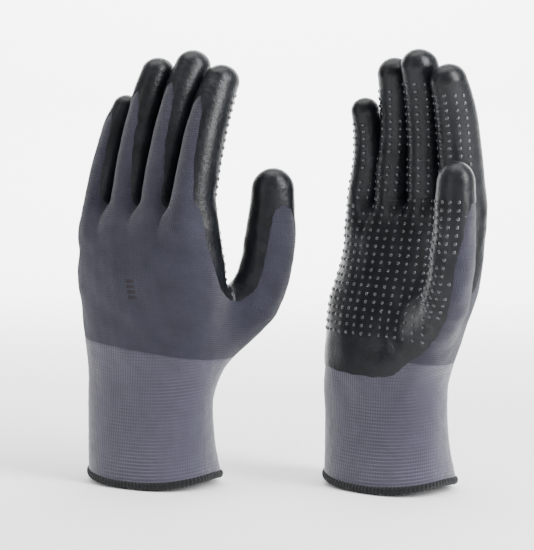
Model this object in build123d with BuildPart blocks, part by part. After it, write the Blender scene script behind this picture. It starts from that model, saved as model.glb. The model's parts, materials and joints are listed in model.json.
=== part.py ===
"""A pair of coated knit work gloves, each standing upright on its hem.

Each glove is laid out in its own hand frame and then placed in the pair's frame. In the hand frame x runs
from the little finger to the thumb, y from the palm to the back of the hand, and z up from the hem. The
right glove shows its palm to the front (-Y) and the left glove shows its back, so the left is the mirror
image of the right. All sizes are in millimetres.
"""

import os
from math import cos, radians, sin

from build123d import *

# Thicknesses and clearances
KNIT = 1.2
COATING = 0.7
BOND = 0.05
SEAM = 0.3

# Hem, cuff and hand, as stations up the glove: height, half width, half depth, centre x, centre y
HEM_HEIGHT = 5.0
HEM_ROLL = 1.0
CUFF_STATIONS = [
    (5.0, 38.6, 29.0, -3.2, -8.5),
    (22.0, 38.6, 22.0, -5.5, -8.5),
    (42.0, 39.0, 17.5, -6.5, -8.5),
    (60.0, 40.0, 17.8, -6.5, -9.3),
]
CUFF_TOP = (75.0, 42.5, 19.0, -4.5, -8.5)
HAND_STATIONS = [
    (87.0, 44.6, 19.8, -2.9, -6.5),
    (100.0, 46.4, 20.0, -0.8, -3.6),
    (112.0, 47.2, 20.0, 0.9, 0.0),
    (125.0, 46.8, 19.3, 2.0, 3.2),
    (140.0, 45.0, 17.2, 3.0, 5.4),
]
WEB = (152.5, 43.6, 13.5, 3.4, 6.0)
PALM_LEVEL = HAND_STATIONS[3]
SQUARENESS = 2.4
OUTLINE_POINTS = 24

# Fingers: knuckle centre, root radius, tip radius, knuckle to middle joint, middle joint to tip
FINGERS = {
    "index": ((36.2, 8.0, 166.0), 9.6, 8.3, 30.5, 45.0),
    "middle": ((13.9, 5.5, 168.0), 9.9, 8.5, 33.0, 48.5),
    "ring": ((-8.6, 4.0, 165.0), 9.5, 8.1, 31.5, 47.5),
    "little": ((-29.6, 3.5, 161.0), 8.2, 7.1, 25.5, 36.5),
}
# How each finger stands at rest, in degrees: lean to the thumb side, forward at the knuckle, and further
# forward at the middle joint
STANCE = {
    "left": {
        "index": (3.5, 13.0, 15.0),
        "middle": (5.5, 9.5, 16.0),
        "ring": (7.5, 5.0, 14.0),
        "little": (9.5, 5.0, 17.0),
    },
    "right": {
        "index": (3.5, 13.0, 15.0),
        "middle": (6.0, 9.5, 16.0),
        "ring": (8.5, 6.0, 15.0),
        "little": (11.0, 6.0, 23.0),
    },
}

# Thumb: heel inside the palm, knuckle, middle joint and tip; half width and half depth at each of them;
# and the direction of its width, in degrees from the hand's x towards the palm
THUMB_HEEL = (22.0, -14.0, 78.0)
THUMB_KNUCKLE = (51.0, -29.0, 108.0)
THUMB_MIDDLE = (59.5, -33.0, 141.0)
THUMB_TIP = (62.5, -36.0, 181.0)
THUMB_HEEL_SIZE = (15.0, 12.0)
THUMB_ROOT_SIZE = (15.0, 12.5)
THUMB_MIDDLE_SIZE = (14.2, 10.2)
THUMB_TIP_SIZE = (12.6, 9.2)
THUMB_TURN = 40.0
THUMB_LIFT = {"left": -3.0, "right": 3.0}

# Half the length of the flexing band of knit at each joint
FINGER_BAND = 8.5
THUMB_BAND = 7.5

# Coating: how far round the hand it comes, and its edge up the back of a digit's tip
COATING_ROUND = 3.0
CAP_START = 9.0
CAP_SLOPE = 52.0

# Where each glove stands: its hand frame's origin and its turn about the vertical, in degrees
PLACES = {"left": (-72.3, 18.6, 31.0), "right": (72.1, 18.6, 42.0)}

# Share of a dome's height and width at the rings that shape a closed tip
DOME = [(0.0, 1.0), (0.35, 0.94), (0.65, 0.76), (0.88, 0.48), (1.0, 0.16)]
DIGITS = [*FINGERS, "thumb"]


def outline(half_width, half_depth):
    """Closed superellipse, which is how a filled knit tube sits."""
    points = []
    for step in range(OUTLINE_POINTS):
        turn = radians(360 * step / OUTLINE_POINTS)
        across = abs(cos(turn)) ** (2 / SQUARENESS) * (1 if cos(turn) > 0 else -1)
        through = abs(sin(turn)) ** (2 / SQUARENESS) * (1 if sin(turn) > 0 else -1)
        points.append((half_width * across, half_depth * through))
    Spline(*points, periodic=True)


def direction(lean, forward):
    """Unit vector up a finger, leaning to the thumb side and forward to the palm side, in degrees."""
    rise = cos(radians(lean))
    return Vector(sin(radians(lean)), -rise * sin(radians(forward)), rise * cos(radians(forward)))


class Glove:
    """One glove's place in the pair's frame."""

    def __init__(self, side):
        self.side = side
        self.x, self.y, turn = PLACES[side]
        self.cos, self.sin = cos(radians(turn)), sin(radians(turn))
        self.mirror = 1 if side == "right" else -1

    def turned(self, vector):
        width, depth, height = Vector(vector)
        depth *= self.mirror
        return Vector(width * self.cos + depth * self.sin, depth * self.cos - width * self.sin, height)

    def placed(self, point):
        return self.turned(point) + Vector(self.x, self.y, 0)

    def plane(self, point, along=(0, 0, 1), across=(1, 0, 0)):
        """Section plane through a point, square to along, with its x as near across as it can be."""
        along = Vector(along).normalized()
        across = Vector(across)
        across = across - along * across.dot(along)
        return Plane(origin=self.placed(point), x_dir=self.turned(across), z_dir=self.turned(along))


def station_plane(glove, station):
    height, _, _, centre_x, centre_y = station
    return glove.plane((centre_x, centre_y, height))


def body_loft(glove, stations, outside=0.0, mode=Mode.ADD):
    """Loft through body stations, grown by outside. Adds to or cuts from the part being built."""
    sections = []
    for station in stations:
        with BuildSketch(station_plane(glove, station)) as section:
            with BuildLine():
                outline(station[1] + outside, station[2] + outside)
            make_face()
        sections.append(section.sketch)
    loft(sections, ruled=True, mode=mode)


def digit_joints(glove, digit):
    """Knuckle, middle joint and tip of a digit in the hand frame."""
    if digit == "thumb":
        lift = Vector(0, 0, THUMB_LIFT[glove.side])
        return [Vector(p) + lift for p in (THUMB_KNUCKLE, THUMB_MIDDLE, THUMB_TIP)]
    knuckle, _, _, first, second = FINGERS[digit]
    lean, forward, curl = STANCE[glove.side][digit]
    middle = Vector(knuckle) + direction(lean, forward) * first
    tip = middle + direction(lean, forward + curl) * second
    return [Vector(knuckle), middle, tip]


def digit_sizes(digit):
    """Half width and half depth of a digit at its knuckle, middle joint and tip."""
    if digit == "thumb":
        return [THUMB_ROOT_SIZE, THUMB_MIDDLE_SIZE, THUMB_TIP_SIZE]
    _, root, tip, _, _ = FINGERS[digit]
    middle = (root + tip) / 2
    return [(root, root), (middle, middle), (tip, tip)]


def digit_across(digit):
    """Direction of a digit's width in the hand frame, which its hinges lie along."""
    turn = radians(THUMB_TURN if digit == "thumb" else 0)
    return Vector(cos(turn), -sin(turn), 0)


def digit_loft(glove, digit, rings, mode=Mode.ADD):
    """Loft through rings of centre, direction, half width and half depth."""
    sections = []
    for centre, along, half_width, half_depth in rings:
        with BuildSketch(glove.plane(centre, along, digit_across(digit))) as section:
            Ellipse(half_width, half_depth)
        sections.append(section.sketch)
    loft(sections, ruled=True, mode=mode)


def tube_rings(start, end, start_size, end_size, outside=0.0):
    """Two rings of a tapering tube between two points."""
    along = end - start
    return [
        (start, along, start_size[0] + outside, start_size[1] + outside),
        (end, along, end_size[0] + outside, end_size[1] + outside),
    ]


def tip_rings(start, tip, start_size, tip_size, outside=0.0):
    """Rings of a closed tip: a tapering tube, then a dome as high as it is deep."""
    along = (tip - start).normalized()
    apex = tip + along * outside
    dome_height = tip_size[1] + outside
    shoulder = apex - along * dome_height
    rings = tube_rings(start, shoulder, start_size, tip_size, outside)
    for height, width in DOME[1:]:
        centre = shoulder + along * (dome_height * height)
        rings.append((centre, along, (tip_size[0] + outside) * width, (tip_size[1] + outside) * width))
    return rings


def band_length(digit):
    return THUMB_BAND if digit == "thumb" else FINGER_BAND


def between(first, second, share):
    return tuple(a + (b - a) * share for a, b in zip(first, second))


def base_ends(glove, digit):
    """Ends of the stiff length between a digit's two flexing bands, and its sizes there."""
    knuckle, middle, _ = digit_joints(glove, digit)
    root_size, middle_size, _ = digit_sizes(digit)
    length = (middle - knuckle).length
    along = (middle - knuckle).normalized()
    inset = band_length(digit)
    start_size = between(root_size, middle_size, inset / length)
    end_size = between(root_size, middle_size, 1 - inset / length)
    return knuckle + along * inset, middle - along * inset, start_size, end_size


def tip_start(glove, digit):
    """Where the closed tip length begins, past the middle joint's band, and its size there."""
    _, middle, tip = digit_joints(glove, digit)
    _, middle_size, tip_size = digit_sizes(digit)
    share = band_length(digit) / (tip - middle).length
    return middle + (tip - middle) * share, between(middle_size, tip_size, share)


def tapered_tube(glove, digit, start, end, start_size, end_size):
    digit_loft(glove, digit, tube_rings(start, end, start_size, end_size))
    inside = tube_rings(start, end, start_size, end_size, -KNIT)
    digit_loft(glove, digit, inside, mode=Mode.SUBTRACT)


def thumb_heel_rings(glove, outside=0.0):
    """The thumb's root, from inside the palm up to the band at its knuckle."""
    knuckle, middle, _ = digit_joints(glove, "thumb")
    heel = Vector(THUMB_HEEL)
    root = knuckle - (middle - knuckle).normalized() * THUMB_BAND
    heel_size, root_size = THUMB_HEEL_SIZE, THUMB_ROOT_SIZE
    along = root - heel
    return [
        (heel, along, heel_size[0] + outside, heel_size[1] + outside),
        (root, middle - knuckle, root_size[0] + outside, root_size[1] + outside),
    ]


def make_hem(glove):
    """The black elastic overlock edging, flat underneath, that the glove stands on."""
    _, half_width, half_depth, centre_x, centre_y = CUFF_STATIONS[0]
    with BuildPart() as hem:
        with BuildSketch(glove.plane((centre_x, centre_y, 0))):
            with BuildLine():
                outline(half_width + HEM_ROLL, half_depth + HEM_ROLL)
            make_face()
            with BuildLine():
                outline(half_width - KNIT - HEM_ROLL, half_depth - KNIT - HEM_ROLL)
            make_face(mode=Mode.SUBTRACT)
        extrude(amount=HEM_HEIGHT)
    return hem


def make_cuff(glove):
    """The ribbed elastic wrist, a tube from the hem to the hand."""
    stations = [*CUFF_STATIONS, CUFF_TOP]
    with BuildPart() as cuff:
        body_loft(glove, stations)
        body_loft(glove, stations, -KNIT, Mode.SUBTRACT)
    return cuff


def make_hand(glove):
    """Palm and back of the liner, with the thumb's root, open below and at each digit."""
    stations = [CUFF_TOP, *HAND_STATIONS, WEB]
    web_inside = (WEB[0] - KNIT, *WEB[1:])
    with BuildPart() as hand:
        body_loft(glove, stations)
        digit_loft(glove, "thumb", thumb_heel_rings(glove))
        body_loft(glove, [CUFF_TOP, *HAND_STATIONS, web_inside], -KNIT, Mode.SUBTRACT)
        digit_loft(glove, "thumb", thumb_heel_rings(glove, -KNIT), mode=Mode.SUBTRACT)
        with BuildSketch(Plane.XY.offset(WEB[0])):
            for knuckle, root_radius, _, _, _ in FINGERS.values():
                hole = glove.placed(knuckle)
                with Locations((hole.X, hole.Y)):
                    Circle(root_radius - KNIT)
        extrude(amount=-2 * KNIT, mode=Mode.SUBTRACT)
        split(bisect_by=Plane.XY.offset(CUFF_TOP[0]), keep=Keep.TOP)
    return hand


def make_palm_coating(glove):
    """The nitrile skin over the palm side of the hand and the thumb's root."""
    stations = [CUFF_STATIONS[-1], CUFF_TOP, *HAND_STATIONS, WEB]
    outer = BOND + COATING
    with BuildPart() as coating:
        body_loft(glove, stations, outer)
        digit_loft(glove, "thumb", thumb_heel_rings(glove, outer))
        body_loft(glove, stations, BOND, Mode.SUBTRACT)
        digit_loft(glove, "thumb", thumb_heel_rings(glove, BOND), mode=Mode.SUBTRACT)
        edge = (PALM_LEVEL[3], PALM_LEVEL[4] + COATING_ROUND, PALM_LEVEL[0])
        low_edge = (CUFF_STATIONS[-1][3], CUFF_STATIONS[-1][4] + COATING_ROUND, CUFF_STATIONS[-1][0])
        rise = Vector(edge) - Vector(low_edge)
        facing = Vector(1, 0, 0).cross(rise)
        split(bisect_by=glove.plane(edge, facing), keep=Keep.TOP)
    return coating


def make_knuckle_band(glove, digit):
    """The band of knit that flexes between the hand and a digit's stiff length."""
    knuckle, middle, _ = digit_joints(glove, digit)
    root_size, _, _ = digit_sizes(digit)
    start, _, start_size, _ = base_ends(glove, digit)
    if digit == "thumb":
        along = middle - knuckle
        below = knuckle - along.normalized() * (THUMB_BAND - SEAM)
    else:
        along = Vector(0, 0, 1)
        below = Vector(knuckle.X, knuckle.Y, WEB[0] + SEAM)
    upper_along = (middle - knuckle).normalized()
    rings = [
        (below, along, root_size),
        (knuckle, along.normalized() + upper_along, root_size),
        (start - upper_along * SEAM, upper_along, start_size),
    ]
    return make_band(glove, digit, rings)


def make_middle_band(glove, digit):
    """The band of knit that flexes at a digit's middle joint."""
    knuckle, middle, tip = digit_joints(glove, digit)
    _, middle_size, _ = digit_sizes(digit)
    _, end, _, end_size = base_ends(glove, digit)
    start, start_size = tip_start(glove, digit)
    lower_along = (middle - knuckle).normalized()
    upper_along = (tip - middle).normalized()
    rings = [
        (end + lower_along * SEAM, lower_along, end_size),
        (middle, lower_along + upper_along, middle_size),
        (start - upper_along * SEAM, upper_along, start_size),
    ]
    return make_band(glove, digit, rings)


def make_band(glove, digit, rings):
    with BuildPart() as band:
        digit_loft(glove, digit, [(centre, along, *size) for centre, along, size in rings])
        inside = [(centre, along, size[0] - KNIT, size[1] - KNIT) for centre, along, size in rings]
        digit_loft(glove, digit, inside, mode=Mode.SUBTRACT)
    return band


def make_base(glove, digit):
    """The stiff length of a stall between its knuckle and its middle joint."""
    with BuildPart() as base:
        tapered_tube(glove, digit, *base_ends(glove, digit))
    return base


def make_tip(glove, digit):
    """The closed end of a stall."""
    start, start_size = tip_start(glove, digit)
    tip = digit_joints(glove, digit)[2]
    tip_size = digit_sizes(digit)[2]
    with BuildPart() as end:
        digit_loft(glove, digit, tip_rings(start, tip, start_size, tip_size))
        inside = tip_rings(start, tip, start_size, tip_size, -KNIT)
        digit_loft(glove, digit, inside, mode=Mode.SUBTRACT)
    return end


def make_tip_coating(glove, digit):
    """The dipped nitrile cap of a tip: all round at the end, and down the palm side."""
    start, start_size = tip_start(glove, digit)
    _, middle, tip = digit_joints(glove, digit)
    tip_size = digit_sizes(digit)[2]
    along = (tip - middle).normalized()
    across = digit_across(digit)
    backward = across.cross(along).normalized() * -1
    slope = radians(CAP_SLOPE)
    facing = along * sin(slope) - backward * cos(slope)
    edge = start + along * CAP_START
    with BuildPart() as cap:
        digit_loft(glove, digit, tip_rings(start, tip, start_size, tip_size, BOND + COATING))
        inside = tip_rings(start, tip, start_size, tip_size, BOND)
        digit_loft(glove, digit, inside, mode=Mode.SUBTRACT)
        split(bisect_by=glove.plane(edge, facing, across), keep=Keep.TOP)
    return cap


def write(piece, name):
    piece.part.label = name
    export_step(piece.part, f"parts/{name}.step")


os.makedirs("parts", exist_ok=True)
for side in PLACES:
    glove = Glove(side)
    write(make_hem(glove), f"{side}_hem")
    write(make_cuff(glove), f"{side}_cuff")
    write(make_hand(glove), f"{side}_hand")
    write(make_palm_coating(glove), f"{side}_palm_coating")
    for digit in DIGITS:
        write(make_knuckle_band(glove, digit), f"{side}_{digit}_knuckle_band")
        write(make_base(glove, digit), f"{side}_{digit}_base")
        write(make_middle_band(glove, digit), f"{side}_{digit}_middle_band")
        write(make_tip(glove, digit), f"{side}_{digit}_tip")
        write(make_tip_coating(glove, digit), f"{side}_{digit}_tip_coating")
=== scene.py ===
import json
import math

import bpy
import numpy as np
import openvdb
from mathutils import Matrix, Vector


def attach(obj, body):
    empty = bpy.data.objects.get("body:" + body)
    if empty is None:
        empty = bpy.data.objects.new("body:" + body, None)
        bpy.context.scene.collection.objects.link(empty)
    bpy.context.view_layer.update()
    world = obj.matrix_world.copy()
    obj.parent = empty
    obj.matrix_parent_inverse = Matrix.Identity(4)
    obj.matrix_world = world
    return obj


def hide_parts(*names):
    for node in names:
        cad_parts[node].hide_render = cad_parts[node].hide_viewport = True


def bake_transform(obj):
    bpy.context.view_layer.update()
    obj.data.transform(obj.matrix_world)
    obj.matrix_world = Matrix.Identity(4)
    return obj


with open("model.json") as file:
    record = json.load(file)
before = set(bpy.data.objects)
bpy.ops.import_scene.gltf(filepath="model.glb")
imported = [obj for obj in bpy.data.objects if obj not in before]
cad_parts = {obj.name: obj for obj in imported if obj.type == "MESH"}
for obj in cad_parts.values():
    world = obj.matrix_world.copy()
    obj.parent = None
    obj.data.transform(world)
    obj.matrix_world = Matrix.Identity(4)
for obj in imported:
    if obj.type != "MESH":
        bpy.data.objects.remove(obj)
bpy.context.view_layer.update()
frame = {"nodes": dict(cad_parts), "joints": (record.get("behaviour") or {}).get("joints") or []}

MM = 0.001
JOINTS = {joint["name"]: joint for joint in frame["joints"]}
FINGERS = ("index", "middle", "ring", "little")
DIGITS = FINGERS + ("thumb",)

# Where the index knuckle stands in a glove's own frame: x runs from the little finger to the
# thumb, y from the palm to the back, z up from the hem. Every length here is in millimetres.
INDEX_KNUCKLE = (36.2, 8.0)

# Height, half width, half depth and centre of the hand's and the cuff's sections
SECTIONS = np.array((
    (-12, 40.5, 30.5, -2.2, -8.5),
    (4, 39.6, 29.5, -3.0, -8.5),
    (22, 39.6, 23.4, -5.5, -8.5),
    (42, 39.9, 19.4, -6.5, -8.7),
    (60, 40.4, 18.9, -6.5, -9.3),
    (75, 42.5, 19.4, -4.5, -8.5),
    (87, 44.8, 20.2, -2.9, -6.5),
    (100, 46.6, 20.6, -0.8, -3.6),
    (112, 47.4, 20.4, 0.9, 0.0),
    (125, 46.9, 19.7, 2.0, 3.2),
    (140, 45.0, 17.8, 3.0, 5.4),
    (152, 44.0, 15.6, 3.0, 6.0),
    (175, 43.5, 14.0, 3.0, 5.5),
))
SQUARENESS = 2.4
PALM_TOP = 157.0
PALM_TOP_SLOPE = 0.06
PALM_TOP_ROUND = 16.0

# Half width at the root, the middle joint and the tip, and depth over width
STALLS = {
    "index": (11.3, 10.6, 8.9, 1.2),
    "middle": (10.5, 10.2, 9.0, 1.2),
    "ring": (10.4, 9.6, 8.4, 1.2),
    "little": (9.5, 8.4, 6.9, 1.2),
    "thumb": (15.0, 13.6, 11.6, 0.82),
}
# Shift of a finger's root along x, and how far the lower end of the little finger's path is
# drawn back toward the thumb
ROOT_SHIFT = -1.4
ROOT_DRAW = 3.0
# Length of a finger's path below its knuckle, its taper there, and the swell of its back
ROOT_DEPTH = 16.0
ROOT_TAPER = 0.8
FINGER_BACK_SWELL = 1.6
# Where the thumb's ball starts, the height of the knuckle that it goes with, and the thumb's turn
THUMB_HEEL = (22.0, -14.0, 78.0)
THUMB_KNUCKLE_HEIGHT = 108.0
THUMB_TURN = 40.0
# How softly the fingers and the thumb run into the hand
FINGER_JOIN = 9.0
THUMB_JOIN = 15.0
# Height of the forks between the fingers, its rise toward the thumb, and the gap above them
FORK_HEIGHT = 164.0
FORK_SLOPE = 0.12
FORK_GAP = 1.9
# The hand's slack and its small folds
SLACK = 0.36
FOLD = 0.10
# How far from a digit its distance is worked out, and the distance that stands for more
REACH = 30.0
FAR = 60.0

# The knit's wall, and the coating's height, the width of its rim and its depth in the knit
KNIT_WALL = 1.1
COAT_HEIGHT = 0.62
COAT_RIM = 1.5
COAT_INSET = 0.2
# Length over which a stall bends at its knuckle, and half of that at its middle joint
KNUCKLE_BEND = 13.0
MIDDLE_BEND = 9.0
# A stall leaves the hand this far above its highest fork, sought up to a height over the knuckle
CUT_MARGIN = 0.4
CUT_SEARCH = 24.0
THUMB_CUT_LEAN = (0.45, -0.55, -0.1)
# The box in which the surface is found, and its step
GRID_LOW = (-58.0, -52.0, 60.0)
GRID_HIGH = (84.0, 36.0, 254.0)
VOXEL = 1.0

# Rounding of the coating's corners
CORNER_ROUND = 8.0
# Directions across the palm's face and across the hand's back, as shares of x and y
PALM_ACROSS = (0.743, 0.669)
BACK_ACROSS = (0.857, -0.515)
# The coating's lower edge on the palm: distance across the palm, height
PALM_EDGE = ((-70, 66.5), (-43.8, 66.5), (-33.6, 65), (-18.5, 64.3), (-7.8, 66.5),
             (-0.1, 75), (6.4, 80.5), (13, 90), (17.5, 102), (19.6, 118), (20.8, 150), (21, 300))
# Its edge round the thumb's crotch: distance across the back, height
CROTCH_EDGE = ((20, 140), (32.9, 119), (38.4, 111.5), (44.9, 108), (50.2, 107), (56.6, 111.5),
               (59.7, 119.4), (63.7, 132.3), (67.6, 143.6), (72, 160))
# Height and depth of its edge along the index side of the hand
BACK_EDGE = ((100, -6), (107, -3), (122, 4.9), (133, 10.2), (140, 12.8), (156, 15), (175, 16))
# Bare knit on a finger's back: millimetres below the tip, azimuth from and to
FINGER_STRIP = ((22, 99, 101), (25, 90, 124), (30, 79, 142), (40, 73, 158), (55, 70, 166),
                (75, 58, 174), (100, 56, 180))
LITTLE_STRIP = ((13, 99, 101), (17, 88, 122), (24, 78, 142), (36, 73, 158), (50, 68, 170),
                (75, 58, 178), (100, 56, 182))
THUMB_STRIP = ((20, 18, 26), (23, -8, 48), (26.6, -22, 58), (34, -31, 62), (39.6, -37, 65),
               (50, -48, 67), (70, -52, 69), (120, -60, 72))

# Studs: pitch, size, and clearance from a neighbouring digit and from the coating's edge
DOT_ROW = 4.4
DOT_COLUMN = 5.0
DOT_RADIUS = 1.15
DOT_HEIGHT = 0.95
DOT_CLEARANCE = 4.5
DOT_EDGE = 2.2
# Their first and last row on a digit, in millimetres below its tip, and the way its middle
# column faces; and their first and last row on the palm, by height
DOT_START = {"index": 18.0, "middle": 20.0, "ring": 19.0, "little": 16.0, "thumb": 21.0}
DOT_END = {"index": 84.0, "middle": 84.0, "ring": 84.0, "little": 84.0, "thumb": 88.0}
DOT_FACING = {"index": -104, "middle": -104, "ring": -104, "little": -104, "thumb": -112}
PALM_DOTS = (88.0, 166.0)

# The seam between cuff and hand: its height, and its fall for each millimetre toward the thumb
SEAM_HEIGHT = 77.5
SEAM_FALL = 0.1
CUFF_WALL = 1.15
COURSE = 1.9
# The generic mark on the back: centre and half size, and half the pitch of its bars
MARK_CENTRE = (1.0, 113.5)
MARK_HALF = (2.6, 6.2)
MARK_BAR = 1.55


def smooth(t):
    t = np.clip(t, 0.0, 1.0)
    return t * t * (3 - 2 * t)


def smooth_min(a, b, k):
    h = np.maximum(k - np.abs(a - b), 0.0) / k
    return np.minimum(a, b) - h * h * k / 4


def smooth_max(a, b, k):
    return -smooth_min(-a, -b, k)


def unit(v):
    v = np.asarray(v, float)
    return v / np.linalg.norm(v)


def spline(points, values, steps=5):
    """Catmull-Rom curve through points with a value at each, as points and values along it."""
    p = np.array([2 * points[0] - points[1], *points, 2 * points[-1] - points[-2]])
    w = np.array([values[0], *values, values[-1]], float)
    out, carried = [], []
    for i in range(1, len(p) - 2):
        for t in np.linspace(0, 1, steps, endpoint=False):
            a, b, c, d = p[i - 1], p[i], p[i + 1], p[i + 2]
            out.append(0.5 * (2 * b + (c - a) * t + (2 * a - 5 * b + 4 * c - d) * t**2
                              + (3 * b - a - 3 * c + d) * t**3))
            carried.append(w[i] + (w[i + 1] - w[i]) * t)
    out.append(p[-2])
    carried.append(w[-2])
    return np.array(out), np.array(carried)


LEVELS = np.arange(-12.0, 176.0, 1.0)
_bell = np.exp(-0.5 * (np.arange(-12, 13) / 4.5) ** 2)
_bell /= _bell.sum()
PROFILE = np.array([
    np.convolve(np.pad(np.interp(LEVELS, SECTIONS[:, 0], SECTIONS[:, i]), 12, mode="edge"),
                _bell, mode="valid")
    for i in range(1, 5)
])


def section(z):
    """Half width, half depth and centre of the hand's section at each height."""
    return [np.interp(z, LEVELS, row) for row in PROFILE]


class Waves:
    """A few fixed sine waves through space, for the slack and the folds of the fabric."""

    def __init__(self, seed, shortest, longest, count=26):
        rng = np.random.default_rng(seed)
        turn = rng.normal(size=(count, 3))
        turn /= np.linalg.norm(turn, axis=1)[:, None]
        length = rng.uniform(shortest, longest, count)
        self.k = turn * (2 * math.pi / length)[:, None]
        self.phase = rng.uniform(0, 2 * math.pi, count)

    def __call__(self, p):
        return np.sin(p @ self.k.T + self.phase).sum(1) / math.sqrt(len(self.phase))


class Glove:
    """One glove's shape, as a distance from its outer knit surface in its own frame."""

    def __init__(self, side):
        self.side = side
        flip = 1.0 if side == "right" else -1.0
        joint = JOINTS[f"{side}_index_knuckle"]
        axis = np.array(joint["axis"], float)[:2] * flip
        self.x_dir = np.array((axis[0], axis[1], 0.0))
        self.y_dir = flip * np.array((-axis[1], axis[0], 0.0))
        knuckle = np.array(joint["pos_m"], float) / MM
        self.origin = knuckle - self.x_dir * INDEX_KNUCKLE[0] - self.y_dir * INDEX_KNUCKLE[1]
        self.origin[2] = 0.0
        self.mirrored = side == "left"
        self.waves = Waves(11 if side == "left" else 23, 16, 46)
        self.folds = Waves(5 if side == "left" else 8, 7, 15)
        self.paths = {digit: self.digit_path(digit) for digit in DIGITS}

    def local(self, world_m):
        v = np.atleast_2d(np.array(world_m, float)) / MM - self.origin
        return np.stack([v @ self.x_dir, v @ self.y_dir, v[:, 2]], 1)

    def world(self, p):
        p = np.atleast_2d(p)
        v = self.origin + p[:, :1] * self.x_dir + p[:, 1:2] * self.y_dir
        v[:, 2] += p[:, 2]
        return v * MM

    def digit_path(self, digit):
        root, mid, tip, ratio = STALLS[digit]
        knuckle = self.local(JOINTS[f"{self.side}_{digit}_knuckle"]["pos_m"])[0]
        middle = self.local(JOINTS[f"{self.side}_{digit}_middle_joint"]["pos_m"])[0]
        mesh = frame["nodes"][f"{self.side}_{digit}_tip_coating"].data
        co = np.array([v.co for v in mesh.vertices], float)
        top = self.local(co[co[:, 2] > co[:, 2].max() - 0.0004].mean(0))[0]
        shift = np.array((0.0 if digit == "thumb" else ROOT_SHIFT, 0.0, 0.0))
        along = unit(middle - knuckle)
        end_dir = unit(top - middle)
        if digit == "thumb":
            heel = np.array(THUMB_HEEL) + (0, 0, knuckle[2] - THUMB_KNUCKLE_HEIGHT)
            stops = [heel, knuckle + shift, middle, top - end_dir * tip * 0.9]
            sizes = [root - 1, root, mid, tip]
        else:
            draw = (ROOT_DRAW if digit == "little" else 0.0, 0, 0)
            half = (middle + top) / 2 + (0, FINGER_BACK_SWELL, 0)
            stops = [knuckle + shift - along * ROOT_DEPTH + draw, knuckle + shift,
                     middle + shift * 0.8, half + shift * 0.3, top - end_dir * tip + (0, 0, 0.2)]
            sizes = [root - ROOT_TAPER, root, mid, (mid + tip) / 2, tip]
        points, radii = spline(stops, sizes)
        turn = math.radians(THUMB_TURN) if digit == "thumb" else 0.0
        deep = np.array((math.sin(turn), math.cos(turn), 0.0))
        lengths = np.r_[0, np.cumsum(np.linalg.norm(np.diff(points, axis=0), axis=1))]
        total = lengths[-1] + tip
        return {"points": points, "radii": radii, "deep": deep, "ratio": ratio,
                "lengths": lengths, "total": total, "knuckle": knuckle, "middle": middle,
                "along": along, "low": points.min(0) - REACH, "high": points.max(0) + REACH}

    def nearest(self, digit, p, detail=False):
        """Distance to a digit, and with detail where along it and round it each point is."""
        path = self.paths[digit]
        deep, ratio = path["deep"], path["ratio"]

        def squeeze(v):
            return v - np.outer(v @ deep, deep) * (1 - 1 / ratio)

        q, line = squeeze(p), squeeze(path["points"])
        best = np.full(len(p), 99.0)
        if detail:
            where = np.zeros(len(p))
            centre = np.zeros((len(p), 3))
        for i in range(len(line) - 1):
            a, ab = line[i], line[i + 1] - line[i]
            t = np.clip((q - a) @ ab / (ab @ ab), 0, 1)
            radius = path["radii"][i] + (path["radii"][i + 1] - path["radii"][i]) * t
            d = np.linalg.norm(q - a - t[:, None] * ab, axis=1) - radius
            closer = d < best
            best = np.where(closer, d, best)
            if detail:
                step = path["lengths"][i] + (path["lengths"][i + 1] - path["lengths"][i]) * t
                mid = path["points"][i] + t[:, None] * (path["points"][i + 1] - path["points"][i])
                where[closer] = step[closer]
                centre[closer] = mid[closer]
        if not detail:
            return best * (ratio + 1) / 2 if ratio < 1 else best
        tip_dir = unit(path["points"][-1] - path["points"][-2])
        beyond = np.clip((p - path["points"][-1]) @ tip_dir, 0, None)
        return best, where + beyond, centre

    def body(self, p):
        """Distance to the hand and the cuff without their digits."""
        hw, hd, cx, cy = section(p[:, 2])
        u, v = np.abs(p[:, 0] - cx) / hw, np.abs(p[:, 1] - cy) / hd
        f = (u**SQUARENESS + v**SQUARENESS) ** (1 / SQUARENESS) + 1e-6
        slope = np.hypot((u / f) ** (SQUARENESS - 1) / hw, (v / f) ** (SQUARENESS - 1) / hd)
        d = (f - 1) / (slope + 1e-6)
        top = p[:, 2] - PALM_TOP - PALM_TOP_SLOPE * p[:, 0]
        return smooth_max(d, top, PALM_TOP_ROUND)

    def parts(self, p):
        """Distance to the body and to each digit by itself."""
        found = {"body": self.body(p)}
        for digit in DIGITS:
            path = self.paths[digit]
            near = ((p > path["low"]) & (p < path["high"])).all(1)
            d = np.full(len(p), FAR)
            if near.any():
                d[near] = self.nearest(digit, p[near])
            found[digit] = d
        return found

    def distance(self, p):
        """Distance from the knit's outer surface, below zero inside."""
        found = self.parts(p)
        z = p[:, 2]
        ranked = np.sort(np.stack([found[f] for f in FINGERS]), axis=0)
        d = smooth_min(found["body"], ranked[0], FINGER_JOIN)
        d = smooth_min(d, found["thumb"], THUMB_JOIN)
        d = d - SLACK * self.waves(p) * smooth((z - 20) / 50) * (1 - 0.6 * smooth((z - 150) / 20))
        crease = smooth((z - 60) / 25) * (1 - smooth((z - 150) / 30))
        d = d - FOLD * self.folds(p) * (0.35 + crease)
        fork = z - FORK_HEIGHT - FORK_SLOPE * p[:, 0]
        slot = np.minimum(FORK_GAP / 2 - (ranked[1] - ranked[0]) / 2, fork * 0.6)
        return np.where((fork > 0) & (ranked[0] < 5), np.maximum(d, slot), d)

    def gradient(self, p, step=0.35):
        """Unit vectors away from the glove."""
        g = np.zeros_like(p)
        for i in range(3):
            shift = np.zeros(3)
            shift[i] = step
            g[:, i] = self.distance(p + shift) - self.distance(p - shift)
        return g / (np.linalg.norm(g, axis=1)[:, None] + 1e-9)

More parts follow.
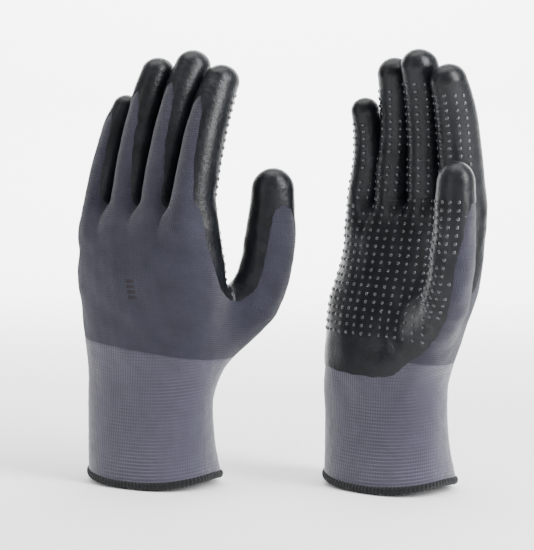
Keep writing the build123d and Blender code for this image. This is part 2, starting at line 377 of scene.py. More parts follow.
    def settle(self, p, rounds=3):
        """Points moved onto the surface, and its outward normals there."""
        n = self.gradient(p)
        for _ in range(rounds):
            p = p - n * np.clip(self.distance(p), -1.5, 1.5)[:, None]
        return p, self.gradient(p)


def curve_side(points, edge):
    """Signed distance of each 2-D point from an edge, above zero on its left."""
    edge = np.array(edge, float)
    best = np.full(len(points), 1e9)
    signed = np.zeros(len(points))
    for a, b in zip(edge[:-1], edge[1:]):
        ab = b - a
        t = np.clip((points - a) @ ab / (ab @ ab), 0, 1)
        off = points - a - t[:, None] * ab
        d = np.hypot(off[:, 0], off[:, 1])
        cross = ab[0] * (points[:, 1] - a[1]) - ab[1] * (points[:, 0] - a[0])
        closer = d < best - 1e-9
        best[closer] = d[closer]
        signed[closer] = np.where(cross > 0, d, -d)[closer]
    return signed


def turn_between(a, b):
    """Degrees from b to a, the short way round."""
    return (a - b + 180) % 360 - 180


def coating(glove, p, found):
    """How far each point of the surface is inside the coated area, below zero on bare knit."""
    x, y, z = p.T
    across = PALM_ACROSS[0] * x + PALM_ACROSS[1] * y
    behind = BACK_ACROSS[0] * x + BACK_ACROSS[1] * y
    palm = curve_side(np.stack([across, z], 1), PALM_EDGE)
    crotch = curve_side(np.stack([behind, z], 1), CROTCH_EDGE)
    _, _, _, cy = section(z)
    rim = np.array(BACK_EDGE, float)
    radial = np.interp(z, rim[:, 0], rim[:, 1])
    share = smooth((x + 46) / 92)
    back = cy + (radial - cy) * share - y
    field = smooth_min(back, np.maximum(palm, crotch), CORNER_ROUND)
    lower = np.array(PALM_EDGE[:6], float)
    low = z - np.interp(across, lower[:, 0], lower[:, 1])
    field = np.where(z < 75, np.minimum(field, np.where(across < 0, low, field)), field)
    for digit in DIGITS:
        path = glove.paths[digit]
        near = found[digit] < 6.0
        if not near.any():
            continue
        _, where, centre = glove.nearest(digit, p[near], detail=True)
        off = p[near] - centre
        azimuth = np.degrees(np.arctan2(off[:, 1], off[:, 0]))
        radius = np.hypot(off[:, 0], off[:, 1]) + 2.0
        below = path["total"] - where
        strip = {"thumb": THUMB_STRIP, "little": LITTLE_STRIP}.get(digit, FINGER_STRIP)
        strip = np.array(strip, float)
        first = np.interp(below, strip[:, 0], strip[:, 1])
        last = np.interp(below, strip[:, 0], strip[:, 2])
        middle, half = (first + last) / 2, (last - first) / 2
        side = (np.abs(turn_between(azimuth, middle)) - half) * math.pi / 180 * radius
        field_digit = np.maximum(side, (strip[0, 0] - below) * 0.9)
        others = np.minimum.reduce([found[d] for d in DIGITS if d != digit])
        start, rise = (104, 14) if digit == "thumb" else (156, 12)
        weight = smooth((z[near] - start) / rise)
        weight = weight * smooth((others[near] - found[digit][near] + 1.0) / 2.0)
        field[near] = field[near] * (1 - weight) + field_digit * weight
    return field + 0.28 * Waves(3, 5, 14)(p)


def clip(mesh, field):
    """The part of a triangle mesh where field is above zero, cut exactly along zero."""
    faces, count = mesh["faces"], len(mesh["p"])
    inside = field > 0
    score = inside[faces].sum(1)
    out = [faces[score == 3]]
    cut = {}
    pairs = []

    def crossing(a, b):
        key = (a, b) if a < b else (b, a)
        if key not in cut:
            cut[key] = count + len(pairs)
            pairs.append(key)
        return cut[key]

    extra = []
    for tri in faces[(score == 1) | (score == 2)]:
        tri = [int(i) for i in tri]
        flags = [bool(inside[i]) for i in tri]
        if sum(flags) == 1:
            k = flags.index(True)
            a, b, c = tri[k], tri[(k + 1) % 3], tri[(k + 2) % 3]
            extra.append((a, crossing(a, b), crossing(a, c)))
        else:
            k = flags.index(False)
            a, b, c = tri[k], tri[(k + 1) % 3], tri[(k + 2) % 3]
            ab, ac = crossing(a, b), crossing(a, c)
            extra.append((ab, b, c))
            extra.append((ab, c, ac))
    if extra:
        out.append(np.array(extra, int))
    faces = np.concatenate(out)
    if pairs:
        pairs = np.array(pairs, int)
        fa, fb = field[pairs[:, 0]], field[pairs[:, 1]]
        t = fa / (fa - fb)
    used, faces = np.unique(faces, return_inverse=True)
    result = {"faces": faces.reshape(-1, 3)}
    for key, value in mesh.items():
        if key == "faces":
            continue
        whole = value
        if len(pairs):
            mix = t if value.ndim == 1 else t[:, None]
            between = value[pairs[:, 0]] * (1 - mix) + value[pairs[:, 1]] * mix
            whole = np.concatenate([value, between])
        result[key] = whole[used]
    result["n"] = result["n"] / (np.linalg.norm(result["n"], axis=1)[:, None] + 1e-9)
    return result


def borders(faces):
    """Directed edges of a mesh that only one of its faces has."""
    size = faces.shape[1]
    edges = np.concatenate([faces[:, (i, (i + 1) % size)] for i in range(size)])
    big = int(faces.max()) + 1
    forward = edges[:, 0] * big + edges[:, 1]
    backward = edges[:, 1] * big + edges[:, 0]
    return edges[~np.isin(forward, backward)]


def make_object(name, glove, p, faces, normals, attributes, material):
    """A mesh object in the row frame from points and faces in a glove's own frame."""
    verts = glove.world(p)
    faces = [np.asarray(f) for f in faces if len(f)]
    if glove.mirrored:
        faces = [f[:, ::-1] for f in faces]
    mesh = bpy.data.meshes.new(name)
    mesh.from_pydata(verts.tolist(), [], [row for f in faces for row in f.tolist()])
    mesh.shade_smooth()
    for key, value in attributes.items():
        layer = mesh.attributes.new(key, "FLOAT_VECTOR", "POINT")
        layer.data.foreach_set("vector", np.asarray(value, np.float32).ravel())
    if normals is not None:
        turned = normals[:, :1] * glove.x_dir + normals[:, 1:2] * glove.y_dir
        turned[:, 2] += normals[:, 2]
        mesh.normals_split_custom_set_from_vertices(turned.tolist())
    mesh.materials.append(material)
    obj = bpy.data.objects.new(name, mesh)
    bpy.context.scene.collection.objects.link(obj)
    return obj


def shell(name, glove, mesh, outward, inward, material):
    """A closed skin between two offsets from the surface."""
    p, n, faces = mesh["p"], mesh["n"], mesh["faces"]
    count = len(p)
    outward = np.broadcast_to(outward, count)[:, None]
    points = np.concatenate([p + n * outward, p - n * inward])
    rim = borders(faces)
    sides = np.stack([rim[:, 1], rim[:, 0], rim[:, 0] + count, rim[:, 1] + count], 1)
    weave = np.concatenate([mesh["weave"]] * 2)
    spot = np.concatenate([p, p])
    return make_object(name, glove, points, [faces, faces[:, ::-1] + count, sides],
                       np.concatenate([n, -n]), {"weave": weave, "spot": spot}, material)


class Nodes:
    """A short hand for building a material's node tree."""

    def __init__(self, name):
        self.material = bpy.data.materials.new(name)
        self.material.use_nodes = True
        self.tree = self.material.node_tree
        self.shader = self.tree.nodes["Principled BSDF"]

    def add(self, kind, inputs=None, output=0, **settings):
        node = self.tree.nodes.new(kind)
        for key, value in settings.items():
            setattr(node, key, value)
        for key, value in (inputs or {}).items():
            self.set(node.inputs[key], value)
        return node.outputs[output]

    def set(self, socket, value):
        if isinstance(value, bpy.types.NodeSocket):
            self.tree.links.new(value, socket)
        else:
            socket.default_value = value

    def math(self, operation, a, b=None):
        inputs = {0: a} if b is None else {0: a, 1: b}
        return self.add("ShaderNodeMath", inputs, operation=operation)

    def attribute(self, name):
        return self.add("ShaderNodeAttribute", output="Vector", attribute_name=name,
                        attribute_type="GEOMETRY")

    def split(self, vector):
        node = self.tree.nodes.new("ShaderNodeSeparateXYZ")
        self.tree.links.new(vector, node.inputs[0])
        return node.outputs

    def noise(self, vector, scale, detail=2.0, roughness=0.5):
        return self.add("ShaderNodeTexNoise", {"Vector": vector, "Scale": scale, "Detail": detail,
                                               "Roughness": roughness}, output="Fac")

    def remap(self, value, a, b, c, d):
        return self.add("ShaderNodeMapRange", {"Value": value, 1: a, 2: b, 3: c, 4: d})

    def mix(self, factor, a, b, blend="MIX"):
        node = self.tree.nodes.new("ShaderNodeMix")
        node.data_type = "RGBA"
        node.blend_type = blend
        for socket, value in ((node.inputs[0], factor), (node.inputs[6], a), (node.inputs[7], b)):
            self.set(socket, value)
        return node.outputs[2]

    def bump(self, height, distance, strength):
        inputs = {"Height": height, "Distance": distance, "Strength": strength}
        return self.add("ShaderNodeBump", inputs, output="Normal")

    def finish(self, **inputs):
        for key, value in inputs.items():
            self.set(self.shader.inputs[key.replace("_", " ")], value)
        return self.material


def rgb(r, g, b):
    """A linear colour from display values of 0 to 255."""
    def linear(v):
        v = v / 255
        return v / 12.92 if v <= 0.04045 else ((v + 0.055) / 1.055) ** 2.4
    return (linear(r), linear(g), linear(b), 1.0)


def knit_material(name, wales, dark, light, marked=False):
    """Plain knit: columns of V stitches round the piece and courses up it."""
    n = Nodes(name)
    u, v, along = n.split(n.attribute("weave"))
    spot = n.attribute("spot")
    angle = n.math("ARCTAN2", v, u)
    wale = n.math("MULTIPLY", angle, wales / (2 * math.pi))
    lean = n.math("PINGPONG", wale, 0.5)
    course = n.math("DIVIDE", along, 1.15)
    course = n.math("ADD", course, n.math("MULTIPLY", lean, 1.1))
    slack = n.remap(n.noise(spot, 0.35, 2.0), 0, 1, -0.35, 0.35)
    course = n.math("ADD", course, slack)
    loop = n.math("SINE", n.math("MULTIPLY", course, 2 * math.pi))
    column = n.math("SINE", n.math("MULTIPLY", lean, 2 * math.pi))
    height = n.math("ADD", n.math("MULTIPLY", loop, 0.3), n.math("MULTIPLY", column, 0.75))
    fibre = n.noise(spot, 3.2, 4.0, 0.7)
    height = n.math("ADD", height, n.math("MULTIPLY", fibre, 0.7))
    normal = n.bump(height, 0.0002, 0.7)
    shade = n.remap(height, -0.2, 1.35, 0.0, 1.0)
    mottled = n.remap(n.noise(spot, 0.09, 3.0, 0.6), 0.3, 0.7, 0.0, 0.35)
    colour = n.mix(shade, dark, light)
    colour = n.mix(mottled, colour, dark)
    fleck = n.remap(n.noise(spot, 1.6, 2.0, 0.6), 0.56, 0.75, 0.0, 0.5)
    colour = n.mix(fleck, colour, light)
    if marked:
        x, y, z = n.split(spot)
        from_x = n.math("ABSOLUTE", n.math("SUBTRACT", x, MARK_CENTRE[0]))
        from_z = n.math("ABSOLUTE", n.math("SUBTRACT", z, MARK_CENTRE[1]))
        inside = n.math("LESS_THAN", from_x, MARK_HALF[0])
        tall = n.math("LESS_THAN", from_z, MARK_HALF[1])
        up = n.math("SUBTRACT", z, MARK_CENTRE[1] - MARK_HALF[1])
        bars = n.math("GREATER_THAN", n.math("PINGPONG", up, MARK_BAR), 0.55)
        back = n.math("GREATER_THAN", y, 5.0)
        mark = n.math("MULTIPLY", n.math("MULTIPLY", inside, tall), n.math("MULTIPLY", bars, back))
        worn = n.remap(fibre, 0.35, 0.6, 0.55, 0.95)
        colour = n.mix(n.math("MULTIPLY", mark, worn), colour, rgb(26, 20, 19))
    return n.finish(Base_Color=colour, Roughness=0.88, Normal=normal, Sheen_Weight=0.18,
                    Sheen_Roughness=0.5, Specular_IOR_Level=0.18)


def cuff_material(name, dark, light):
    """Elastic cuff: fine rubber-backed courses round the wrist."""
    n = Nodes(name)
    u, v, along = n.split(n.attribute("weave"))
    spot = n.attribute("spot")
    wale = n.math("SINE", n.math("MULTIPLY", n.math("ARCTAN2", v, u), 150.0))
    rows = n.math("SINE", n.math("MULTIPLY", along, 4 * math.pi / COURSE))
    fibre = n.noise(spot, 2.8, 4.0, 0.7)
    height = n.math("ADD", n.math("MULTIPLY", wale, 0.35), n.math("MULTIPLY", rows, 0.3))
    height = n.math("ADD", height, n.math("MULTIPLY", fibre, 0.8))
    normal = n.bump(height, 0.0002, 0.7)
    rib = n.math("SINE", n.math("MULTIPLY", along, 2 * math.pi / COURSE))
    patch = n.remap(n.noise(spot, 0.045, 3.0, 0.6), 0.4, 0.62, 0.12, 1.0)
    rib = n.math("MULTIPLY", rib, patch)
    shade = n.remap(n.math("ADD", rib, n.math("MULTIPLY", fibre, 1.2)), -0.6, 1.8, 0.0, 1.0)
    colour = n.mix(shade, dark, light)
    colour = n.mix(n.remap(n.noise(spot, 0.12, 2.0), 0.35, 0.7, 0.0, 0.3), colour, dark)
    return n.finish(Base_Color=colour, Roughness=0.85, Normal=normal, Sheen_Weight=0.5,
                    Sheen_Roughness=0.5, Specular_IOR_Level=0.18)


def nitrile_material(name, dark, light, rough, specular):
    """Dipped foam nitrile: satin, with fine pores and the knit showing faintly through."""
    n = Nodes(name)
    _, _, along = n.split(n.attribute("weave"))
    spot = n.attribute("spot")
    pores = n.noise(spot, 2.4, 3.0, 0.6)
    swell = n.noise(spot, 0.5, 2.0, 0.5)
    rows = n.math("SINE", n.math("MULTIPLY", along, 2 * math.pi / 1.3))
    height = n.math("ADD", n.math("MULTIPLY", pores, 0.5), n.math("MULTIPLY", swell, 1.6))
    height = n.math("ADD", height, n.math("MULTIPLY", rows, 0.06))
    normal = n.bump(height, 0.00022, 0.6)
    worn = n.remap(n.noise(spot, 0.07, 3.0, 0.6), 0.35, 0.7, 0.0, 1.0)
    colour = n.mix(worn, dark, light)
    colour = n.mix(n.remap(pores, 0.5, 0.75, 0.0, 0.25), colour, light)
    roughness = n.remap(swell, 0.3, 0.7, rough - 0.05, rough + 0.08)
    return n.finish(Base_Color=colour, Roughness=roughness, Normal=normal,
                    Specular_IOR_Level=specular)


def edging_material(name):
    """Thread laid round the hem."""
    n = Nodes(name)
    spot = n.attribute("spot")
    u, _, along = n.split(n.attribute("weave"))
    thread = n.math("SINE", n.math("ADD", n.math("MULTIPLY", u, 2 * math.pi / 0.45), along))
    fibre = n.noise(spot, 4.0, 3.0, 0.7)
    height = n.math("ADD", n.math("MULTIPLY", thread, 0.5), fibre)
    # Darker where the thread lies lower: painted shade in the grooves between its wraps, mixed
    # with random fibre tone.
    colour = n.mix(n.remap(height, 0.0, 1.4, 0.0, 1.0), rgb(8, 8, 10), rgb(30, 32, 35))
    return n.finish(Base_Color=colour, Roughness=0.8, Normal=n.bump(height, 0.0002, 0.8),
                    Sheen_Weight=0.1, Specular_IOR_Level=0.2)


HAND_KNIT = knit_material("hand_knit", 168, rgb(16, 17, 22), rgb(52, 52, 66), marked=True)
STALL_KNIT = knit_material("stall_knit", 46, rgb(16, 17, 22), rgb(52, 52, 66))
CUFF_KNIT = cuff_material("cuff_knit", rgb(46, 45, 57), rgb(72, 71, 86))
NITRILE = nitrile_material("nitrile", rgb(9, 11, 13), rgb(21, 23, 28), 0.33, 0.24)
# The studs are the same black nitrile as the coating; their lighter colour is a painted highlight
# for the glint on each glossy dot.
DOT_RUBBER_PAINTED_HIGHLIGHT = nitrile_material("dot_rubber_painted_highlight", rgb(24, 27, 31), rgb(46, 50, 56), 0.15, 0.65)
EDGING = edging_material("edging")


def surface(glove):
    """The glove's outer knit surface above the cuff, with every field its pieces need."""
    low, high = np.array(GRID_LOW), np.array(GRID_HIGH)
    shape = np.ceil((high - low) / VOXEL).astype(int)
    axes = [low[i] + VOXEL * np.arange(shape[i]) for i in range(3)]
    values = np.empty(shape, np.float32)
    yy, zz = np.meshgrid(axes[1], axes[2], indexing="ij")
    slab = 12  # columns of the box worked out at a time
    for i in range(0, shape[0], slab):
        xs = axes[0][i:i + slab]
        pts = np.stack([np.repeat(xs, yy.size), np.tile(yy.ravel(), len(xs)),
                        np.tile(zz.ravel(), len(xs))], 1)
        values[i:i + slab] = glove.distance(pts).reshape(len(xs), *yy.shape)
    grid = openvdb.FloatGrid(background=9.0)
    grid.copyFromArray(values)
    points, quads = grid.convertToQuads(isovalue=0.0)
    p = low + np.array(points, float) * VOXEL
    quads = np.array(quads, int)
    p, n = glove.settle(p)
    a, b, c, d = (p[quads[:, i]] for i in range(4))
    first = np.linalg.norm(a - c, axis=1) <= np.linalg.norm(b - d, axis=1)
    tris = np.concatenate([quads[first][:, (0, 1, 2)], quads[first][:, (0, 2, 3)],
                           quads[~first][:, (0, 1, 3)], quads[~first][:, (1, 2, 3)]])
    facing = np.cross(p[tris[:, 1]] - p[tris[:, 0]], p[tris[:, 2]] - p[tris[:, 0]])
    if np.einsum("ij,ij->i", facing, n[tris[:, 0]]).sum() < 0:
        tris = tris[:, ::-1]
    found = glove.parts(p)
    mesh = {"faces": tris, "p": p, "n": n, "coat": coating(glove, p, found)}
    return mesh, found


def hand_weave(p):
    """Coordinates that the hand's knit follows: two round it and one up it."""
    hw, hd, cx, cy = section(p[:, 2])
    return np.stack([(p[:, 0] - cx) / hw, (p[:, 1] - cy) / hd, p[:, 2]], 1) * (30, 30, 1)


def digit_weave(glove, digit, p):
    """The same for a digit, up its own path."""
    path = glove.paths[digit]
    _, where, centre = glove.nearest(digit, p, detail=True)
    off = p - centre
    wide = np.cross(path["deep"], (0, 0, 1.0))
    return np.stack([off @ wide, off @ path["deep"] / path["ratio"], where], 1)


def seam_height(p):
    """Height where the cuff meets the hand, lower toward the thumb."""
    return SEAM_HEIGHT - SEAM_FALL * np.clip(p[:, 0], -44, 44)


def coat_profile(coat):
    """The coating's height, from its distance inside the coated area."""
    return 0.05 + COAT_HEIGHT * np.sqrt(smooth(coat / COAT_RIM))


def dot_mesh(centres, normals):
    """Low round studs of rubber on the coating, each a closed dome."""
    ring = np.array(((1.0, -0.35), (0.97, 0.18), (0.8, 0.5), (0.5, 0.7)))
    turns = 10
    angles = np.linspace(0, 2 * math.pi, turns, endpoint=False)
    help_dir = np.where(np.abs(normals[:, 2:]) < 0.8, (0, 0, 1.0), (1.0, 0, 0))
    a = np.cross(help_dir, normals)
    a /= np.linalg.norm(a, axis=1)[:, None]
    b = np.cross(normals, a)
    points = []
    per = len(ring) * turns + 2
    for r, h in ring:
        for t in angles:
            points.append(centres + (a * math.cos(t) + b * math.sin(t)) * r * DOT_RADIUS
                          + normals * h * DOT_HEIGHT)
    points.append(centres + normals * 0.78 * DOT_HEIGHT)
    points.append(centres - normals * 0.4 * DOT_HEIGHT)
    p = np.stack(points, 1).reshape(-1, 3)
    quads, tris = [], []
    for k in range(len(ring) - 1):
        for j in range(turns):
            m = (j + 1) % turns
            quads.append((k * turns + j, k * turns + m, (k + 1) * turns + m, (k + 1) * turns + j))
    top, last = len(ring) * turns, (len(ring) - 1) * turns
    for j in range(turns):
        m = (j + 1) % turns
        tris.append((last + j, last + m, top))
        tris.append((m, j, top + 1))
    offsets = (np.arange(len(centres)) * per)[:, None, None]
    quads = (np.array(quads)[None] + offsets).reshape(-1, 4)
    tris = (np.array(tris)[None] + offsets).reshape(-1, 3)
    return p, quads, tris


def make_dots(name, glove, centres, digit):
    """One piece of all the studs at these points, on a digit or on the palm."""
    normals = glove.gradient(centres)
    p, quads, tris = dot_mesh(centres + normals * COAT_HEIGHT, normals)
    weave = hand_weave(p) if digit is None else digit_weave(glove, digit, p)
    return make_object(name, glove, p, [quads, tris], None, {"weave": weave, "spot": p},
                       DOT_RUBBER_PAINTED_HIGHLIGHT)


def ray_points(glove, starts, dirs, reach):
    """Points where rays from inside the glove leave it."""
    t = np.full(len(starts), 2.0)
    for _ in range(26):
        d = glove.distance(starts + dirs * t[:, None])
        t = np.clip(t - d * 0.85, 0, reach)
    p = starts + dirs * t[:, None]
    return p[np.abs(glove.distance(p)) < 0.25]


def digit_dots(glove, digit):
    """Rows of studs along a digit's palm side."""
    path = glove.paths[digit]
    spots, dirs = [], []
    for below in np.arange(DOT_START[digit], DOT_END[digit], DOT_ROW):
        s = path["total"] - below
        if s < 0:
            break
        centre = np.array([np.interp(s, path["lengths"], path["points"][:, i]) for i in range(3)])
        radius = np.interp(s, path["lengths"], path["radii"])
        step = math.degrees(DOT_COLUMN / (radius + 0.7))
        for j in range(-3, 4):
            turn = math.radians(DOT_FACING[digit] + j * step)
            spots.append(centre)
            dirs.append((math.cos(turn), math.sin(turn), 0.0))
    return np.array(spots), np.array(dirs)


def palm_dots():
    """Rows of studs across the palm, as rays from inside it."""
    spots, dirs = [], []
    for z in np.arange(*PALM_DOTS, DOT_ROW):
        hw, _, cx, cy = (float(v[0]) for v in section(np.array([z])))
        for x in np.arange(-48, 52, DOT_COLUMN):
            share = (x - cx) / hw
            if abs(share) > 1.12:
                continue
            lean = np.clip(share, -1, 1) * 0.55
            spots.append((cx + (x - cx) * 0.75, cy, z))
            dirs.append(unit((lean + (x - cx) * 0.012, -1.0, 0.0)))
    return np.array(spots), np.array(dirs)


def around_wrist(glove, c, s, z, start):
    """Points of the surface round the wrist at each height, and level normals there."""
    hw, hd, cx, cy = section(z)
    radial = np.stack([c * hw, s * hd, 0 * c], 1)
    radial /= np.linalg.norm(radial, axis=1)[:, None]
    p = np.stack([cx, cy, z], 1) + radial * start
    for _ in range(22):
        p = p - radial * (glove.distance(p) * 0.85)[:, None]
    n = glove.gradient(p)
    n[:, 2] = 0
    return p, n / np.linalg.norm(n, axis=1)[:, None]


def build_cuff(glove):
    """Elastic cuff as a closed skin with its courses standing in relief."""
    rows, columns = 168, 208
    turns = np.linspace(0, 2 * math.pi, columns, endpoint=False)
    t, turn = np.meshgrid(np.linspace(0, 1, rows), turns, indexing="ij")
    t, turn = t.ravel(), turn.ravel()
    c, s = np.cos(turn), np.sin(turn)
    lift = hem_height(c)
    top = SEAM_HEIGHT + 0.8 - SEAM_FALL * 42 * c
    z = lift + (top - lift) * t
    p, n = around_wrist(glove, c, s, z, 24)
    along = z - lift
    rib = np.cos(along * 2 * math.pi / COURSE) * 0.08 + 0.06 * Waves(4, 3, 9)(p)
    edge = smooth(t * 70 / 3) * smooth((1 - t) * 70 / 2)
    flat = 0.35 * smooth(1 - np.abs(z - top) / 1.6)
    outer = p + n * (rib * edge - flat)[:, None]
    inner = p - n * CUFF_WALL
    count = rows * columns
    i = np.arange(rows - 1)[:, None] * columns
    j = np.arange(columns)[None]
    m = (j + 1) % columns
    quads = np.stack([i + j, i + m, i + columns + m, i + columns + j], -1).reshape(-1, 4)
    rim = borders(quads)
    sides = np.stack([rim[:, 1], rim[:, 0], rim[:, 0] + count, rim[:, 1] + count], 1)
    weave = np.stack([c * 30, s * 30, along], 1)
    spot = np.concatenate([outer, inner])
    faces = [quads, quads[:, ::-1] + count, sides]
    return make_object(f"{glove.side}_cuff_knit", glove, spot, faces, None,
                       {"weave": np.concatenate([weave] * 2), "spot": spot}, CUFF_KNIT)


def hem_height(c):
    """Middle height of the hem, raised at the two sides of the wrist."""
    return 2.4 + 4.2 * np.abs(c) ** 2.4


def build_hem(glove):
    """Overlocked hem: a roll of thread round the cuff's mouth."""
    columns, around = 620, 14
    turns = np.linspace(0, 2 * math.pi, columns, endpoint=False)
    c, s = np.cos(turns), np.sin(turns)
    centre, n = around_wrist(glove, c, s, hem_height(c), 26)
    centre = centre - n * 0.6
    length = np.r_[0, np.cumsum(np.linalg.norm(np.diff(centre, axis=0), axis=1))]
    whole = length[-1] + np.linalg.norm(centre[0] - centre[-1])
    stitches = round(whole / 2.3)
    points, weave = [], []
    for k in range(around):
        angle = 2 * math.pi * k / around
        pitch = 2 * math.pi * stitches * length / whole
        thread = 0.16 * np.sin(pitch + 1.6 * math.cos(angle)) + 0.05 * np.sin(pitch * 3 + angle)
        out = (1.55 + thread) * math.cos(angle)
        up = (2.15 + thread) * math.sin(angle)
        points.append(centre + n * out[:, None] + np.stack([0 * up, 0 * up, up], 1))
        weave.append(np.stack([length, 0 * length, np.full(columns, angle)], 1))
    p = np.stack(points, 1).reshape(-1, 3)
    p[:, 2] = np.maximum(p[:, 2], 0.05)
    i = np.arange(columns)[:, None] * around
    nxt = ((np.arange(columns) + 1) % columns)[:, None] * around
    j = np.arange(around)[None]
    m = (j + 1) % around
    quads = np.stack([i + j, nxt + j, nxt + m, i + m], -1).reshape(-1, 4)
    return make_object(f"{glove.side}_hem_edging", glove, p, [quads], None,
                       {"weave": np.stack(weave, 1).reshape(-1, 3), "spot": p}, EDGING)


def keep_dots(glove, spots):
    """The studs that stand on the coating's palm side, clear of its edge."""
    n = glove.gradient(spots)
    inside = coating(glove, spots, glove.parts(spots)) > DOT_EDGE
    return spots[inside & (n[:, 1] < 0.25)]


def above_cut(cut, p):
    """How far points are above the plane where a stall leaves the hand."""
    return p @ cut["direction"] - cut["start"] @ cut["direction"]


def cut_digits(glove, mesh, found):
    """Adds to the mesh where each stall starts and where its tip length starts."""
    p, faces = mesh["p"], mesh["faces"]
    cuts = {}
    for digit in DIGITS:
        path = glove.paths[digit]
        direction = path["along"]
        if digit == "thumb":
            direction = unit(path["along"] + THUMB_CUT_LEAN)
        rest = np.minimum.reduce([found[o] for o in ("body",) + DIGITS if o != digit])
        own = rest - found[digit] > 0
        ring = np.unique(faces[own[faces].any(1) & ~own[faces].all(1)])
        reach = p[ring] @ direction
        knuckle = path["knuckle"] @ direction
        offset = reach[reach < knuckle + CUT_SEARCH].max() + CUT_MARGIN
        values = p @ direction - offset
        start = path["knuckle"] + direction * (offset - knuckle)
        cuts[digit] = {"direction": direction, "start": start}
        mesh[f"cut_{digit}"] = np.where(own, values, -np.abs(values) - 0.01)
        mesh[f"mid_{digit}"] = (p - path["middle"]) @ path["along"] + MIDDLE_BEND
    return cuts


def without_stalls(mesh):
    """The mesh below the planes where the stalls leave it."""
    return clip(mesh, -np.maximum.reduce([mesh[f"cut_{digit}"] for digit in DIGITS]))


def place(obj, slot, nodes, body=None, bending=None):
    """Hides the CAD nodes that a piece stands for, and attaches it to its body or, when bending is
    given, bakes its transform in place. The slot is not used.
    """
    if nodes:
        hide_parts(*nodes)
    if bending:
        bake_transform(obj)
    else:
        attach(obj, body)


def coat_skin(name, glove, mesh):
    """The nitrile over the coated part of a mesh."""
    coat = clip(mesh, mesh["coat"])
    return shell(name, glove, coat, coat_profile(coat["coat"]), COAT_INSET, NITRILE)


def build_hand(glove, mesh, cuts):
    """Knit, nitrile and studs of the hand. Returns where its studs stand."""
    side, body = glove.side, f"{glove.side}_hand"
    hand = without_stalls(clip(mesh, mesh["seam"]))
    knit = shell(f"{side}_hand_knit", glove, hand, 0.0, KNIT_WALL, HAND_KNIT)
    place(knit, "hand_knit", (f"{side}_hand",), body)
    palm = coat_skin(f"{side}_palm_nitrile", glove, without_stalls(mesh))
    place(palm, "nitrile", (f"{side}_palm_coating",), body)
    spots = keep_dots(glove, ray_points(glove, *palm_dots(), 60))
    near = glove.parts(spots)
    outside = np.ones(len(spots), bool)
    for digit in DIGITS:
        outside &= (above_cut(cuts[digit], spots) < -DOT_RADIUS) | (near[digit] > 3)
    spots = spots[outside]
    studs = make_dots(f"{side}_palm_dots", glove, spots, None)
    place(studs, "nitrile", (), body)
    return spots


def build_digit(glove, digit, mesh, cut, taken):
    """Base and tip lengths of a stall, each with its knit, its nitrile and its studs."""
    side, path = glove.side, glove.paths[digit]
    direction, start = cut["direction"], cut["start"]
    middle, along = path["middle"], path["along"]
    stall = clip(mesh, mesh[f"cut_{digit}"])
    stall["weave"] = digit_weave(glove, digit, stall["p"])
    base_body, tip_body = f"{side}_{digit}_base", f"{side}_{digit}_tip"
    room = (middle - start) @ direction - MIDDLE_BEND * (along @ direction)
    stop = start + direction * min(KNUCKLE_BEND, room)
    knuckle_bend = (f"{side}_hand", base_body, glove.world(start)[0], glove.world(stop)[0])
    middle_bend = (base_body, tip_body, glove.world(middle - along * MIDDLE_BEND)[0],
                   glove.world(middle + along * MIDDLE_BEND)[0])

    spots = keep_dots(glove, ray_points(glove, *digit_dots(glove, digit), 30))
    spots = spots[np.linalg.norm(spots[:, None] - taken[None], axis=2).min(1) > DOT_RADIUS * 3]
    near = glove.parts(spots)
    free = np.minimum.reduce([near[o] for o in DIGITS if o != digit]) > DOT_CLEARANCE
    above = above_cut(cut, spots) > DOT_RADIUS
    spots = spots[above & free & (near[digit] < 1.5)]
    beyond = (spots - middle) @ along + MIDDLE_BEND

    bands = (f"{side}_{digit}_middle_band", f"{side}_{digit}_knuckle_band")
    groups = (
        ("base", -stall[f"mid_{digit}"], knuckle_bend, beyond < -DOT_RADIUS,
         (base_body,) + bands, ()),
        ("tip", stall[f"mid_{digit}"], middle_bend, beyond > DOT_RADIUS,
         (tip_body,), (f"{side}_{digit}_tip_coating",)),
    )
    for part, field, bending, chosen, knit_nodes, coat_nodes in groups:
        name = f"{side}_{digit}_{part}"
        skin = clip(stall, field)
        knit = shell(f"{name}_knit", glove, skin, 0.0, KNIT_WALL, STALL_KNIT)
        place(knit, "hand_knit", knit_nodes, bending=bending)
        place(coat_skin(f"{name}_nitrile", glove, skin), "nitrile", coat_nodes, bending=bending)
        studs = make_dots(f"{name}_dots", glove, spots[chosen], digit)
        place(studs, "nitrile", (), bending=bending)


def build(side):
    """Every piece of one glove."""
    glove = Glove(side)
    mesh, found = surface(glove)
    cuts = cut_digits(glove, mesh, found)
    mesh["seam"] = mesh["p"][:, 2] - seam_height(mesh["p"])
    mesh["weave"] = hand_weave(mesh["p"])
    taken = build_hand(glove, mesh, cuts)
    for digit in DIGITS:
        build_digit(glove, digit, mesh, cuts[digit], taken)
    place(build_cuff(glove), "cuff_knit", (f"{side}_cuff",), f"{side}_hand")
    place(build_hem(glove), "edging", (f"{side}_hem",), f"{side}_hand")


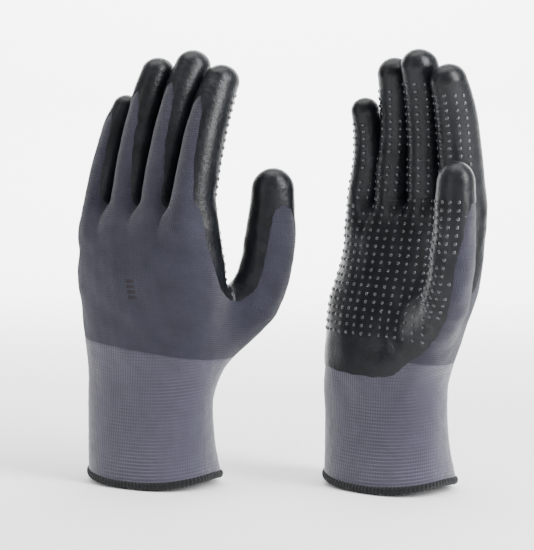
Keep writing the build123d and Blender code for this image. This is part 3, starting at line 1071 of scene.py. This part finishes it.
def stage():
    """Pale floor that curves up into a backdrop, soft lights and the camera."""
    mesh = bpy.data.meshes.new("floor")
    profile = [(-2.6, 0.0), (1.2, 0.0), (1.55, 0.05), (1.8, 0.22), (1.9, 0.5), (1.9, 3.2)]
    width = 3.2
    verts = [(x, y, z - 0.0002) for y, z in profile for x in (-width, width)]
    faces = [(2 * i, 2 * i + 1, 2 * i + 3, 2 * i + 2) for i in range(len(profile) - 1)]
    mesh.from_pydata(verts, [], faces)
    mesh.shade_smooth()
    floor = bpy.data.objects.new("floor", mesh)
    bpy.context.scene.collection.objects.link(floor)
    n = Nodes("floor_paper")
    coordinates = n.add("ShaderNodeTexCoord", output="Object")
    grain = n.noise(coordinates, 400.0, 2.0)
    colour = n.mix(n.remap(grain, 0.3, 0.7, 0.0, 1.0), (0.97, 0.97, 0.97, 1), (1.0, 1.0, 1.0, 1))
    mesh.materials.append(n.finish(Base_Color=colour, Roughness=0.9))

    world = bpy.data.worlds.new("studio")
    world.use_nodes = True
    background = world.node_tree.nodes["Background"]
    background.inputs[0].default_value = (1.0, 1.0, 1.0, 1)
    background.inputs[1].default_value = 0.62
    bpy.context.scene.world = world

    def area(name, place, aim, size, power):
        light = bpy.data.lights.new(name, "AREA")
        light.shape = "RECTANGLE"
        light.size, light.size_y = size
        light.energy = power
        obj = bpy.data.objects.new(name, light)
        obj.location = place
        obj.rotation_euler = (Vector(aim) - Vector(place)).to_track_quat("-Z", "Y").to_euler()
        bpy.context.scene.collection.objects.link(obj)

    middle = (0.0, 0.0, 0.12)
    area("key", (0.95, -0.55, 0.75), middle, (0.4, 1.1), 40.0)
    area("fill", (-1.1, -0.9, 0.6), middle, (0.5, 1.2), 5.5)
    area("top", (0.0, 0.1, 1.5), middle, (1.4, 1.0), 22.0)
    area("back", (0.0, 1.2, 1.2), (0.0, 1.9, 0.6), (2.4, 1.0), 110.0)

    aim = Vector((-5.9, 18.6, 119.9)) * MM
    tilt = math.radians(5.0)
    camera = bpy.data.objects.new("camera", bpy.data.cameras.new("camera"))
    camera.data.sensor_width = 36.0
    camera.data.lens = 126.9
    camera.data.clip_start = 0.05
    camera.location = aim + Vector((0, -math.cos(tilt), math.sin(tilt))) * 1.1
    camera.rotation_euler = (aim - camera.location).to_track_quat("-Z", "Y").to_euler()
    bpy.context.scene.collection.objects.link(camera)
    bpy.context.scene.camera = camera


stage()
for side in ("left", "right"):
    build(side)

bpy.context.view_layer.update()
